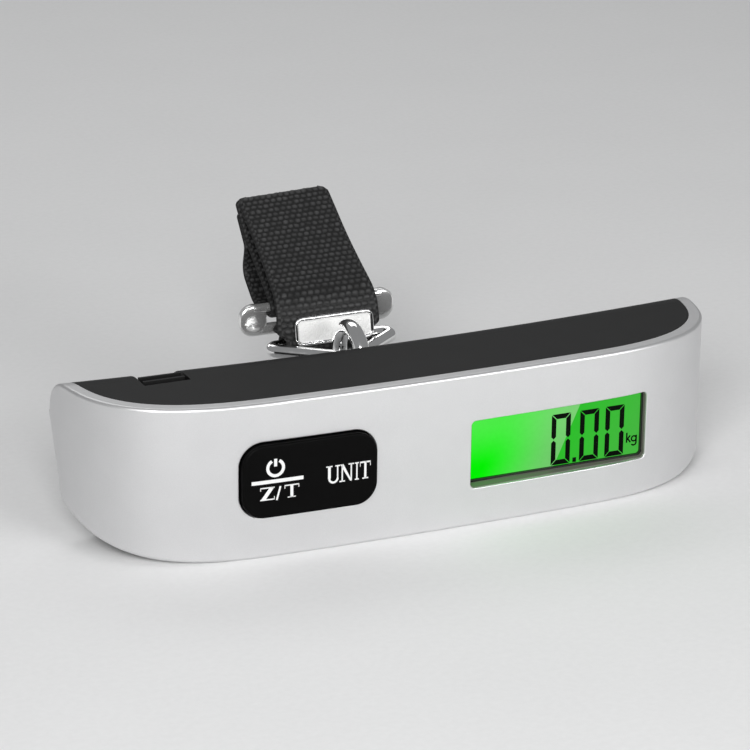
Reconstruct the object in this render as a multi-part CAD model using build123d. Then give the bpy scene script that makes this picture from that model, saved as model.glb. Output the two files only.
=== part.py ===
from build123d import *
import math
import os

# Digital luggage scale. Millimetres. +X to the right along the body, +Y back towards the strap,
# +Z up. The origin is the centre of the flat bottom face that the scale stands on.

# Body
LENGTH = 160.0
HEIGHT = 37.0
FRONT_Y = -13.0                      # middle of the front face
FRONT_BOW = 1040.0                   # radius of the long front face, in plan
END_LENGTH, END_DEPTH, END_POWER = 46.2, 37.6, 2.85     # plan curve of each end
FOOT_LENGTH, FOOT_RISE, FOOT_POWER = 46.0, 14.0, 3.6    # lower corners, seen from the front
REAR_Y = 21.0                        # rearmost point at mid length
REAR_HOLLOW = 800.0                  # radius of the shallow hollow along the back
REAR_Z = 28.5                        # height of the rearmost point
DECK_END_Y = 10.85                   # where the flat top starts to round over, at mid length
WAIST_Y, WAIST_Z = 15.0, 13.0        # lower knee of the back
HEEL_Y, HEEL_Z = 13.0, 2.0           # start of the bottom edge's radius
RIM = 2.9                            # thickness of the front shell at its rim
SEAM = 0.15                          # gap between the two shells
WALL = 2.0                           # walls of the rear shell
EDGE = 0.7                           # softened outer edges
LIP = 0.25                           # softened edges of the openings in the front face

# Display
WINDOW_X = (7.9, 54.2)
WINDOW_Z = (9.2, 25.6)
WINDOW_RADIUS = 1.2
GLASS_Y = -8.6                       # front of the display glass
GLASS_THICK = 1.2
LIGHT_THICK = 3.2                    # light guide behind the glass
BOARD_Y = GLASS_Y + GLASS_THICK + LIGHT_THICK
BOARD_THICK = 1.6
BOARD_X = (-46.0, 57.0)
BOARD_Z = (9.0, 31.0)

# Key
KEY_X = (-48.2, -16.0)
KEY_Z = (10.1, 27.5)
KEY_RADIUS = 5.3
KEY_PROUD = 1.4
KEY_GAP = 0.3
KEY_PIVOT_Y = -6.0
KEY_ARM = 9.0                        # from the pivot to each switch
KEY_MID_X = sum(KEY_X) / 2
KEY_MID_Z = sum(KEY_Z) / 2
PLUNGER_R = 1.6
PLUNGER_TOP_Y = -6.6
SWITCH_TOP_Y = -6.0
KEY_FLANGE_Y = (-7.7, -6.7)
PIN_R = 0.5

# Load path
HOOK_Z = 26.0
CELL_Y = (4.0, 9.0)
CELL_HALF = 32.0
CELL_HEIGHT = 11.0
CELL_BOLT_X = 27.0
EYE_Y, EYE_R, EYE_ROD = 36.95, 6.95, 1.9
SHANK_R, THREAD_R = 2.5, 2.0
WASHER, NUT_Y = 0.8, 0.0
COLLAR_R = 5.6
RING_Z = 25.7
RING_ROD = 1.65
RING_BASE_Y = 50.2
RING_CORNER_X = 18.3
RING_ARM_ANGLE = 38.2                # between the base bar and each arm
RING_CORNER_R, RING_APEX_R = 1.6, 3.4
RING_APEX_Y = RING_BASE_Y - RING_CORNER_X * math.tan(math.radians(RING_ARM_ANGLE))

# Strap
WEBBING_WIDTH, WEBBING = 25.4, 1.3
STRAP_X = -0.9                       # the webbing has slid a little to the left on its bar
LOOP_PLAY = 0.1
STRAP_BEND = (49.7, 36.6)            # (y, z) where the front ply starts to lean back
STRAP_LEAN = 33.7                    # degrees above level
STRAP_SLOPE = 32.9                   # length of the leaning part
FOLD_R = 0.75                        # middle radius of the top fold
PLATE_SIZE = (20.6, 7.0, 0.9)        # front clamp plate: width, height, thickness
PLATE_X, PLATE_MID_Z = 0.2, 29.5
PLATE_PLAY = 0.08                    # gap between the plate and the bulge of the loop behind it
TOGGLE_Y, TOGGLE_Z = 58.1, 33.2      # axis of the toggle's rod
TOGGLE_ROD = 1.2
TOGGLE_X = (-20.2, 20.4)
TOGGLE_BOTTOM_Z = 26.5
TAIL = 17.0                          # sewn end of the back ply
SHORT_PLY = ((52.3, 26.9), (50.15, 31.6))   # (y, z) ends of the webbing's clamped end
PINCH_X, PINCH_Z = 11.4, 28.2        # the loop is pinched between the ring's corners

# Battery
DOOR_X = (-67.3, -46.3)
DOOR_Z = (6.4, 33.6)
DOOR_THICK = 1.8
DOOR_GAP = 0.3
NOTCH_X = (-63.0, -52.0)
NOTCH_Y = 8.4
TAB_SUNK = 1.3                       # thumb tab of the door, below the deck
TAB_RIBS_Y = (10.6, 13.4)
TAB_RIB = 0.8
COIN_R, COIN_THICK = 10.0, 3.2
COIN_Y = 10.4
BAY_FLOOR_Y = 8.9

CLOSURES = ((-38.0, 4.9), (38.0, 4.9), (-72.0, 19.0), (72.0, 19.0))   # (x, z) of the screws
CLOSURE_SEAT_Y = 8.0
POST_R, SCREW_R, SCREW_HEAD_R = 2.2, 1.1, 2.2
ALIGN_BASE = (Align.CENTER, Align.CENTER, Align.MIN)


def block(x, y, z):
    """A box from three (low, high) pairs."""
    size = [high - low for low, high in (x, y, z)]
    middle = [(high + low) / 2 for low, high in (x, y, z)]
    return Pos(*middle) * Box(*size)


def rod_x(y, z, r, x0, x1):
    return Pos((x0 + x1) / 2, y, z) * Rot(0, 90, 0) * Cylinder(r, x1 - x0)


def rod_y(x, z, r, y0, y1):
    return Pos(x, (y0 + y1) / 2, z) * Rot(90, 0, 0) * Cylinder(r, y1 - y0)


def rod_z(x, y, r, z0, z1):
    return Pos(x, y, (z0 + z1) / 2) * Cylinder(r, z1 - z0)


def rounded_y(x, z, y, r):
    """A rounded rectangle in X and Z, pulled along Y."""
    shape = RectangleRounded(x[1] - x[0], z[1] - z[0], r)
    placed = Plane.XZ * Pos(sum(x) / 2, sum(z) / 2) * shape
    return Pos(0, y[0], 0) * extrude(placed, -(y[1] - y[0]))


def end_curve(start, length, rise, power, count=9):
    """Points of a superellipse quarter from its flat start to its upright end."""
    points = []
    for step in range(count):
        angle = math.pi / 2 * (1 - step / (count - 1))
        along = math.cos(angle) ** (2 / power)
        up = 1 - math.sin(angle) ** (2 / power)
        points.append((start + length * along, rise * up))
    return points


def plan_prism(inset):
    """Everything behind the front face and between the ends, seen from above."""
    flat = LENGTH / 2 - END_LENGTH
    drop = flat ** 2 / (2 * FRONT_BOW)
    slope = flat / FRONT_BOW
    points = []
    for x, y in end_curve(flat, END_LENGTH - inset, END_DEPTH - inset, END_POWER):
        share = (x - flat) / (END_LENGTH - inset)
        lean = slope * (x - flat) * (1 - share)
        points.append((x, FRONT_Y + inset + drop + y + lean))
    right = Spline(*points, tangents=[(1, slope), (0, 1)])
    left = mirror(right, Plane.YZ)
    front = ThreePointArc(left @ 0, (0, FRONT_Y + inset), right @ 0)
    far = 2 * REAR_Y
    back = Polyline(right @ 1, (points[-1][0], far), (-points[-1][0], far), left @ 1)
    return extrude(make_face([front, right, back, left]), HEIGHT)


def front_prism(inset):
    """The outline seen from the front: level top and bottom, rounded lower corners."""
    half = LENGTH / 2
    points = [(x, inset + z) for x, z in
              end_curve(half - FOOT_LENGTH, FOOT_LENGTH - inset, FOOT_RISE, FOOT_POWER)]
    right = Spline(*points, tangents=[(1, 0), (0, 1)])
    left = mirror(right, Plane.YZ)
    top = HEIGHT - inset
    rest = Polyline(right @ 1, (half - inset, top), (inset - half, top), left @ 1)
    outline = make_face([Line(left @ 0, right @ 0), right, rest, left])
    return Pos(0, 2 * REAR_Y, 0) * extrude(Plane.XZ * outline, 4 * REAR_Y)


def rear_turning(inset):
    """The side profile, turned about a far upright axis so that the back is slightly hollow."""
    top = HEIGHT - inset
    far = -2 * REAR_Y
    over = EllipticalCenterArc((DECK_END_Y, REAR_Z), REAR_Y - inset - DECK_END_Y, top - REAR_Z,
                               start_angle=0, arc_size=90)
    waist = (WAIST_Y - inset, WAIST_Z)
    heel = (HEEL_Y - inset, max(HEEL_Z, inset))
    down = Polyline(over @ 0, waist, heel)
    foot = ThreePointArc(heel, (heel[0] - 0.3 * HEEL_Z, inset + 0.3 * (heel[1] - inset)),
                         (heel[0] - HEEL_Z, inset)) if heel[1] > inset else None
    low = foot @ 1 if foot else Vector(*heel)
    rest = Polyline(low, (far, inset), (far, top), over @ 1)
    edges = [over, down, rest] + ([foot] if foot else [])
    profile = Plane.YZ * make_face(edges)
    axis = Axis((0, REAR_Y + REAR_HOLLOW, 0), (0, 0, 1))
    half_turn = 9
    turned = revolve(profile, axis, 2 * half_turn)
    return turned.rotate(axis, -half_turn)


OUTER = plan_prism(0) & front_prism(0) & rear_turning(0)


def slanted(p, q, thick):
    """A straight strip of webbing from p to q, in the side view."""
    length = math.dist(p, q)
    angle = math.degrees(math.atan2(q[1] - p[1], q[0] - p[0]))
    return Pos((p[0] + q[0]) / 2, (p[1] + q[1]) / 2) * Rot(0, 0, angle) * Rectangle(length, thick)


def opening_edges(shell, x, z):
    """Edges of an opening, within the ranges x and z, where it breaks the bowed front face."""
    deepest = FRONT_Y + max(abs(end) for end in x) ** 2 / (2 * FRONT_BOW) + 0.2
    return [edge for edge in shell.edges()
            if edge.center().Y < deepest
            and x[0] - 0.1 < edge.center().X < x[1] + 0.1
            and z[0] - 0.1 < edge.center().Z < z[1] + 0.1]


def front_shell():
    front_edges = [edge for edge in OUTER.edges()
                   if edge.geom_type != GeomType.LINE and edge.center().Y < FRONT_Y / 3]
    shell = fillet(front_edges, EDGE) - plan_prism(RIM)
    key_hole_x = (KEY_X[0] - KEY_GAP, KEY_X[1] + KEY_GAP)
    key_hole_z = (KEY_Z[0] - KEY_GAP, KEY_Z[1] + KEY_GAP)
    for x, z, radius in ((WINDOW_X, WINDOW_Z, WINDOW_RADIUS),
                         (key_hole_x, key_hole_z, KEY_RADIUS + KEY_GAP)):
        shell = shell - rounded_y(x, z, (-20, 0), radius)
        shell = fillet(opening_edges(shell, x, z), LIP)
    shell = shell - block((6.0, 56.2), (GLASS_Y - 0.8, 0), (7.0, 27.8))
    for x, z in CLOSURES:
        post = rod_y(x, z, POST_R, FRONT_Y + 1, CLOSURE_SEAT_Y) & plan_prism(1.5)
        shell = shell + (post & front_prism(WALL + 0.3)) - rod_y(x, z, SCREW_R, 3, 20)
    return shell


def rear_shell():
    inside = RIM + SEAM
    shell = OUTER & plan_prism(inside)
    hollow = plan_prism(inside + 1.4) & front_prism(WALL) & rear_turning(WALL)
    shell = shell - hollow - block((-62, 62), (-20, -5), (3.5, 33.5))
    bay = block((DOOR_X[0] - 1.4, DOOR_X[1] + 1.4), (BAY_FLOOR_Y - 1.4, 30), (5.0, 35.5))
    shell = shell + (bay & rear_turning(1) & front_prism(1) & plan_prism(inside))
    for x in (-CELL_BOLT_X, CELL_BOLT_X):
        boss = rod_y(x, HOOK_Z, 4.2, CELL_Y[1], 30) & rear_turning(1)
        shell = shell + boss - rod_y(x, HOOK_Z, 1.5, 5, 15)
    for x, z in CLOSURES:
        seat = rod_y(x, z, POST_R + 1.4, CLOSURE_SEAT_Y - 2.5, 30) & rear_turning(0.5)
        shell = shell + (seat & front_prism(0.5) & plan_prism(inside))
        shell = shell - rod_y(x, z, POST_R + 0.1, -20, CLOSURE_SEAT_Y + 0.05)
        shell = shell - rod_y(x, z, SCREW_R + 0.2, 0, 30)
        shell = shell - rod_y(x, z, SCREW_HEAD_R + 0.2, CLOSURE_SEAT_Y + 1.5, 40)
    shell = shell - rod_y(0, HOOK_Z, COLLAR_R + 0.05, 12, 40)
    opening_x = (DOOR_X[0] - DOOR_GAP, DOOR_X[1] + DOOR_GAP)
    opening_z = (DOOR_Z[0] - DOOR_GAP, DOOR_Z[1] + DOOR_GAP)
    shell = shell - block(opening_x, (BAY_FLOOR_Y, 40), opening_z)
    return shell - block(NOTCH_X, (NOTCH_Y, 40), (33, 40))


def battery_door():
    main = block(DOOR_X, (BAY_FLOOR_Y, 40), DOOR_Z)
    door = (OUTER & main) - rear_turning(DOOR_THICK)
    tab_x = (NOTCH_X[0] + 0.5, NOTCH_X[1] - 0.5)
    tab = rear_turning(TAB_SUNK) & block(tab_x, (NOTCH_Y + 0.7, 40), (31, 40))
    door = door + (tab - rear_turning(TAB_SUNK + DOOR_THICK))
    for y in TAB_RIBS_Y:
        grip = OUTER & block(tab_x, (y, y + TAB_RIB), (31, 40))
        door = door + (grip - rear_turning(TAB_SUNK + 0.2))
    for x in (DOOR_X[0], DOOR_X[1] - 1.2):
        rib = block((x, x + 1.2), (BAY_FLOOR_Y, 40), (13, 31))
        door = door + ((rib & rear_turning(DOOR_THICK - 0.2)) - rear_turning(DOOR_THICK + 1.4))
    return door


def coin_cell():
    middle_x, low = sum(DOOR_X) / 2, DOOR_Z[0] + 0.6
    can = rod_y(middle_x, low + COIN_R, COIN_R, COIN_Y + 0.5, COIN_Y + COIN_THICK)
    return can + rod_y(middle_x, low + COIN_R, COIN_R - 1.1, COIN_Y, COIN_Y + 0.5)


def battery_spring():
    mid, half = sum(DOOR_X) / 2, 0.15
    low, high = BAY_FLOOR_Y + half, COIN_Y - half
    leaf = [slanted((mid - 7, low), (mid - 3, low), 2 * half),
            slanted((mid - 3, low), (mid, high), 2 * half),
            slanted((mid, high), (mid + 3, high), 2 * half)]
    joints = [Pos(mid - 3, low) * Circle(half), Pos(mid, high) * Circle(half)]
    shape = leaf[0] + leaf[1] + leaf[2] + joints[0] + joints[1]
    return Pos(0, 0, DOOR_Z[0] + COIN_R - 2) * extrude(shape, 5)


def battery_side_contact():
    edge = sum(DOOR_X) / 2 + COIN_R
    return block((edge + 0.1, edge + 0.4), (BAY_FLOOR_Y, 13.0), (14, 20))


def display_bezel():
    body = block((6.3, 55.9), (GLASS_Y - 0.7, BOARD_Y), (7.3, 27.5))
    window_x = (WINDOW_X[0] + 0.5, WINDOW_X[1] - 0.5)
    window_z = (WINDOW_Z[0] + 0.5, WINDOW_Z[1] - 0.5)
    body = body - rounded_y(window_x, window_z, (GLASS_Y - 2, GLASS_Y + 1), 0.8)
    return body - block((7.2, 55.0), (GLASS_Y, BOARD_Y + 1), (8.0, 26.8))


def display_glass():
    return block((7.4, 54.8), (GLASS_Y, GLASS_Y + GLASS_THICK), (8.2, 26.6))


def light_guide():
    return block((7.4, 54.8), (GLASS_Y + GLASS_THICK, BOARD_Y), (10.0, 26.6))


def display_connector():
    return block((10, 52), (GLASS_Y + GLASS_THICK, BOARD_Y), (8.3, 9.8))


def circuit_board():
    return block(BOARD_X, (BOARD_Y, BOARD_Y + BOARD_THICK), BOARD_Z)


def controller():
    back = BOARD_Y + BOARD_THICK
    return Pos(24, back, 18) * Rot(-90, 0, 0) * Cone(6.5, 4.5, 1.2, align=ALIGN_BASE)


def amplifier():
    back = BOARD_Y + BOARD_THICK
    body = block((-22, -12), (back + 0.1, back + 1.6), (14, 18))
    for step in range(8):
        x = -21.4 + step * 1.25
        body = body + block((x, x + 0.45), (back, back + 0.7), (12.8, 19.2))
    return body


def key_pad():
    pad = rounded_y(KEY_X, KEY_Z, (-20, KEY_FLANGE_Y[1]), KEY_RADIUS) & plan_prism(-KEY_PROUD)
    front = [edge for edge in pad.edges() if edge.center().Y < FRONT_Y - 0.3]
    pad = fillet(front, 0.5)
    spread_x = (KEY_X[0] - 0.8, KEY_X[1] + 0.8)
    spread_z = (KEY_Z[0] - 1.2, KEY_Z[1] + 1.2)
    pad = pad + rounded_y(spread_x, spread_z, KEY_FLANGE_Y, KEY_RADIUS)
    rib = rod_z(KEY_MID_X, KEY_PIVOT_Y, 1.1, KEY_Z[0] + 1, KEY_Z[1] - 1)
    web = block((KEY_MID_X - 0.8, KEY_MID_X + 0.8), (KEY_FLANGE_Y[1] - 0.5, KEY_PIVOT_Y),
                (KEY_Z[0] + 1, KEY_Z[1] - 1))
    return pad + rib + web - rod_z(KEY_MID_X, KEY_PIVOT_Y, PIN_R + 0.05, 0, HEIGHT)


def key_pin():
    return rod_z(KEY_MID_X, KEY_PIVOT_Y, PIN_R, KEY_Z[0] - 0.9, KEY_Z[1] + 0.9)


def key_bracket():
    low, high = KEY_Z[0] - 0.9, KEY_Z[1] + 0.9
    bracket = block((KEY_MID_X - 3, KEY_MID_X + 3), (BOARD_Y - 0.4, BOARD_Y), (low, high))
    for z in ((low, low + 1.5), (high - 1.5, high)):
        bracket = bracket + block((KEY_MID_X - 2, KEY_MID_X + 2), (KEY_PIVOT_Y - 0.6, BOARD_Y), z)
    return bracket - rod_z(KEY_MID_X, KEY_PIVOT_Y, PIN_R, 0, HEIGHT)


def switch_base(side):
    x = KEY_MID_X + side * KEY_ARM
    base = block((x - 3, x + 3), (SWITCH_TOP_Y, BOARD_Y), (KEY_MID_Z - 3, KEY_MID_Z + 3))
    return base - rod_y(x, KEY_MID_Z, PLUNGER_R + 0.1, SWITCH_TOP_Y - 1, BOARD_Y - 0.3)


def switch_plunger(side):
    x = KEY_MID_X + side * KEY_ARM
    return rod_y(x, KEY_MID_Z, PLUNGER_R, PLUNGER_TOP_Y, PLUNGER_TOP_Y + 1.5)


def load_cell():
    beam = block((-CELL_HALF, CELL_HALF), CELL_Y,
                 (HOOK_Z - CELL_HEIGHT / 2, HOOK_Z + CELL_HEIGHT / 2))
    beam = beam - rod_y(0, HOOK_Z, THREAD_R + 0.1, 0, 12)
    for side in (-1, 1):
        beam = beam - rod_y(side * CELL_BOLT_X, HOOK_Z, 1.6, 0, 12)
        beam = beam - rod_y(side * 14, HOOK_Z, 2.4, 0, 12)
    return beam


def strain_gauges():
    pads = [block((x - 3, x + 3), (CELL_Y[1], CELL_Y[1] + 0.2), (z - 0.9, z + 0.9))
            for x in (-14, 14) for z in (HOOK_Z - 3.9, HOOK_Z + 3.9)]
    return Compound(children=pads)


def cell_bolts():
    bolts = [rod_y(x, HOOK_Z, 2.8, CELL_Y[0] - 2, CELL_Y[0]) + rod_y(x, HOOK_Z, 1.5, CELL_Y[0], 14.5)
             for x in (-CELL_BOLT_X, CELL_BOLT_X)]
    return Compound(children=bolts)


def eye_hook():
    eye = Pos(0, EYE_Y, HOOK_Z) * Rot(0, 90, 0) * Torus(EYE_R, EYE_ROD)
    shank = rod_y(0, HOOK_Z, SHANK_R, CELL_Y[1], EYE_Y - EYE_R)
    neck = Pos(0, EYE_Y - EYE_R - 2.6, HOOK_Z) * Rot(-90, 0, 0) * Cone(SHANK_R, 1.7, 3.2)
    return shank + eye + neck + rod_y(0, HOOK_Z, THREAD_R, NUT_Y - 0.8, CELL_Y[1])


def hook_washer():
    ring = rod_y(0, HOOK_Z, 4.6, CELL_Y[0] - WASHER, CELL_Y[0])
    return ring - rod_y(0, HOOK_Z, THREAD_R + 0.15, 0, 12)


def hook_nut():
    nut = Plane.XZ * Pos(0, HOOK_Z) * RegularPolygon(4.0, 6)
    solid = Pos(0, NUT_Y, 0) * extrude(nut, -(CELL_Y[0] - WASHER - NUT_Y))
    return solid - rod_y(0, HOOK_Z, THREAD_R, -5, 12)


def hook_collar():
    collar = rod_y(0, HOOK_Z, COLLAR_R, 16.6, 21.8)
    return collar - rod_y(0, HOOK_Z, SHANK_R + 0.2, 10, 30)


def closure_screws():
    screws = []
    for x, z in CLOSURES:
        seat = CLOSURE_SEAT_Y + 1.5
        screw = rod_y(x, z, SCREW_R, 4, seat) + rod_y(x, z, SCREW_HEAD_R, seat, seat + 1.7)
        slot = [block((x - a, x + a), (seat + 0.8, seat + 3), (z - b, z + b))
                for a, b in ((1.5, 0.3), (0.3, 1.5))]
        screws.append(screw - slot[0] - slot[1])
    return Compound(children=screws)


def triangle_ring():
    corners = [(RING_CORNER_X, RING_BASE_Y), (0, RING_APEX_Y), (-RING_CORNER_X, RING_BASE_Y)]
    path = FilletPolyline(*corners, radius=[RING_CORNER_R, RING_APEX_R, RING_CORNER_R], close=True)
    path = Pos(0, 0, RING_Z) * path
    return sweep(Plane(path @ 0, z_dir=path % 0) * Circle(RING_ROD), path)


def strap_lines():
    """Middle lines of the plies in the side view, as (y, z) points."""
    around_bar = RING_ROD + LOOP_PLAY + WEBBING / 2
    around_rod = TOGGLE_ROD + LOOP_PLAY + WEBBING / 2
    lean = math.radians(STRAP_LEAN)
    start = (RING_BASE_Y - around_bar, RING_Z)
    top = (STRAP_BEND[0] + STRAP_SLOPE * math.cos(lean), STRAP_BEND[1] + STRAP_SLOPE * math.sin(lean))
    under = (top[0] + 2 * FOLD_R * math.sin(lean), top[1] - 2 * FOLD_R * math.cos(lean))
    slope = math.atan2(under[1] - TOGGLE_Z, under[0] - TOGGLE_Y)
    down = (TOGGLE_Y - around_rod * math.sin(slope), TOGGLE_Z + around_rod * math.cos(slope))
    return start, top, under, down, slope


def strap_webbing():
    start, top, under, down, slope = strap_lines()
    fold = ((top[0] + under[0]) / 2, (top[1] + under[1]) / 2)
    behind, meet = SHORT_PLY
    shift = (WEBBING - 0.1) * math.sin(slope), -(WEBBING - 0.1) * math.cos(slope)
    near = (down[0] + 3.4 * math.cos(slope), down[1] + 3.4 * math.sin(slope))
    tail = [(near[0] + shift[0] + along * math.cos(slope), near[1] + shift[1] + along * math.sin(slope))
            for along in (0, TAIL)]
    outer = FOLD_R + WEBBING / 2
    profile = Pos(*fold) * Circle(outer)
    plies = ((start, STRAP_BEND), (STRAP_BEND, top), (under, down), (behind, meet), tuple(tail))
    for p, q in plies:
        profile = profile + slanted(p, q, WEBBING)
    for p in (STRAP_BEND, down):
        profile = profile + Pos(*p) * Circle(WEBBING / 2)
    for p, r in (((RING_BASE_Y, RING_Z), RING_ROD), ((TOGGLE_Y, TOGGLE_Z), TOGGLE_ROD)):
        profile = profile + Pos(*p) * Circle(r + LOOP_PLAY + WEBBING)
    for p, r in (((RING_BASE_Y, RING_Z), RING_ROD), ((TOGGLE_Y, TOGGLE_Z), TOGGLE_ROD)):
        profile = profile - Pos(*p) * Circle(r + LOOP_PLAY)
    solid = Pos(STRAP_X, 0, 0) * extrude(Plane.YZ * profile, WEBBING_WIDTH / 2, both=True)
    for x in ((-20, -PINCH_X), (PINCH_X, 20)):
        solid = solid - block(x, (RING_BASE_Y - 6, RING_BASE_Y + 6), (RING_Z - 6, PINCH_Z))
    return solid


def clamp_frame():
    """Angle of the lower front ply and the middle of its front surface at the plate."""
    start = strap_lines()[0]
    angle = math.atan2(STRAP_BEND[0] - start[0], STRAP_BEND[1] - start[1])
    along = (PLATE_MID_Z - start[1]) / math.cos(angle)
    middle_y = start[0] + along * math.sin(angle)
    return math.degrees(angle), middle_y, PLATE_MID_Z


def clamp_plate():
    angle, y, z = clamp_frame()
    width, height, thick = PLATE_SIZE
    plate = rounded_y((-width / 2, width / 2), (-height / 2, height / 2), (-thick, 0), 1.9)
    dish = rounded_y((-width / 2 + 0.9, width / 2 - 0.9), (-height / 2 + 0.9, height / 2 - 0.9),
                     (-thick - 1, -thick + 0.25), 1.2)
    placed = Pos(0, -WEBBING / 2 - PLATE_PLAY, 0) * (plate - dish)
    return Pos(PLATE_X, y, z) * Rot(-angle, 0, 0) * placed


def clamp_backing():
    low, high = SHORT_PLY
    y, z = (low[0] + high[0]) / 2, (low[1] + high[1]) / 2
    angle = math.degrees(math.atan2(low[0] - high[0], high[1] - low[1]))
    half = PLATE_SIZE[0] / 2
    plate = block((-half, half), (WEBBING / 2 + 0.02, WEBBING / 2 + 0.72), (-1.0, 2.4))
    return Pos(PLATE_X, y, z) * Rot(angle, 0, 0) * plate


def toggle_plate():
    middle = sum(TOGGLE_X) / 2
    top = TOGGLE_Z + TOGGLE_ROD
    outline = rounded_y(TOGGLE_X, (TOGGLE_BOTTOM_Z, top), (TOGGLE_Y - 0.9, TOGGLE_Y + 0.9), 3.6)
    inset = 1.1
    for y in ((TOGGLE_Y - 3, TOGGLE_Y - 0.45), (TOGGLE_Y + 0.45, TOGGLE_Y + 3)):
        outline = outline - rounded_y((TOGGLE_X[0] + inset, TOGGLE_X[1] - inset),
                                      (TOGGLE_BOTTOM_Z + inset, top - inset), y, 2.5)
    half = WEBBING_WIDTH / 2 + 0.7
    slot = block((STRAP_X - half, STRAP_X + half), (TOGGLE_Y - 3, TOGGLE_Y + 3),
                 (TOGGLE_Z - 3.2, TOGGLE_Z + 5))
    rod = rod_x(TOGGLE_Y, TOGGLE_Z, TOGGLE_ROD, middle - 15.6, middle + 15.6)
    return outline - slot + rod


NODES = {
    "front_shell": front_shell,
    "rear_shell": rear_shell,
    "battery_door": battery_door,
    "coin_cell": coin_cell,
    "battery_spring": battery_spring,
    "battery_side_contact": battery_side_contact,
    "display_bezel": display_bezel,
    "display_glass": display_glass,
    "light_guide": light_guide,
    "display_connector": display_connector,
    "circuit_board": circuit_board,
    "controller": controller,
    "amplifier": amplifier,
    "key_pad": key_pad,
    "key_pin": key_pin,
    "key_bracket": key_bracket,
    "switch_base_left": lambda: switch_base(-1),
    "switch_base_right": lambda: switch_base(1),
    "switch_plunger_left": lambda: switch_plunger(-1),
    "switch_plunger_right": lambda: switch_plunger(1),
    "load_cell": load_cell,
    "strain_gauges": strain_gauges,
    "cell_bolts": cell_bolts,
    "eye_hook": eye_hook,
    "hook_washer": hook_washer,
    "hook_nut": hook_nut,
    "hook_collar": hook_collar,
    "closure_screws": closure_screws,
    "triangle_ring": triangle_ring,
    "strap_webbing": strap_webbing,
    "clamp_plate": clamp_plate,
    "clamp_backing": clamp_backing,
    "toggle_plate": toggle_plate,
}


if __name__ == "__main__":
    os.makedirs("parts", exist_ok=True)
    for name, make in NODES.items():
        export_step(make(), f"parts/{name}.step")
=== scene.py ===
"""Looks for the digital luggage scale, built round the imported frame.

Sizes here are millimetres in the frame's own axes (+X along the body, +Y back to the strap, +Z up)
and turn into metres in mesh_object.
"""

import math

import bmesh
import bpy
from mathutils import Matrix, Vector, noise
from mathutils.bvhtree import BVHTree


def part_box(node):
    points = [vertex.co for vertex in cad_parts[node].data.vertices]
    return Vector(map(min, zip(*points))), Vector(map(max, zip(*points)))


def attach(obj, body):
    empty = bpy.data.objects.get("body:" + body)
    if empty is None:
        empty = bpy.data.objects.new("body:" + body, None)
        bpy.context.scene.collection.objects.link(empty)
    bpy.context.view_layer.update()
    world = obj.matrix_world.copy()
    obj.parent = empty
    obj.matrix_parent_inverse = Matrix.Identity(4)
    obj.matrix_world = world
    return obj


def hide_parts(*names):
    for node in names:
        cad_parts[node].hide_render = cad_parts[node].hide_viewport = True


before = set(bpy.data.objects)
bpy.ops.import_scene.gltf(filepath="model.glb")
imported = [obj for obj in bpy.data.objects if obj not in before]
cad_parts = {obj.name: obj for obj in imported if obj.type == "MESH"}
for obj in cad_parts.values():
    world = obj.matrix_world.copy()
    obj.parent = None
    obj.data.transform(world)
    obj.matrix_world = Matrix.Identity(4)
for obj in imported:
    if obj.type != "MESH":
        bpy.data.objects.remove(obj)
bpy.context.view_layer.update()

MM = 0.001


def box_mm(node):
    """Lowest and highest corner of a CAD node, in millimetres."""
    low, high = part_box(node)
    return low / MM, high / MM


# Camera: where it looks, how far away it is, and how it is turned
CAMERA_TARGET = (-11.1, -1.3, 35.6)
CAMERA_DISTANCE = 758.3
CAMERA_YAW, CAMERA_PITCH, CAMERA_ROLL = 24.53, 20.05, 0.71
CAMERA_LENS = 160.75


def make_camera():
    yaw, pitch, roll = (math.radians(a) for a in (CAMERA_YAW, CAMERA_PITCH, CAMERA_ROLL))
    ahead = Vector((math.sin(yaw) * math.cos(pitch), math.cos(yaw) * math.cos(pitch), -math.sin(pitch)))
    level = Vector((math.cos(yaw), -math.sin(yaw), 0))
    right = level * math.cos(roll) + level.cross(ahead) * math.sin(roll)
    up = right.cross(ahead)
    data = bpy.data.cameras.new("camera")
    data.lens = CAMERA_LENS
    data.sensor_width = 36
    camera = bpy.data.objects.new("camera", data)
    turn = Matrix((right, up, -ahead)).transposed().to_4x4()
    place = (Vector(CAMERA_TARGET) - ahead * CAMERA_DISTANCE) * MM
    camera.matrix_world = Matrix.Translation(place) @ turn
    bpy.context.collection.objects.link(camera)
    bpy.context.scene.camera = camera


make_camera()


# ---------------------------------------------------------------- materials

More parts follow.
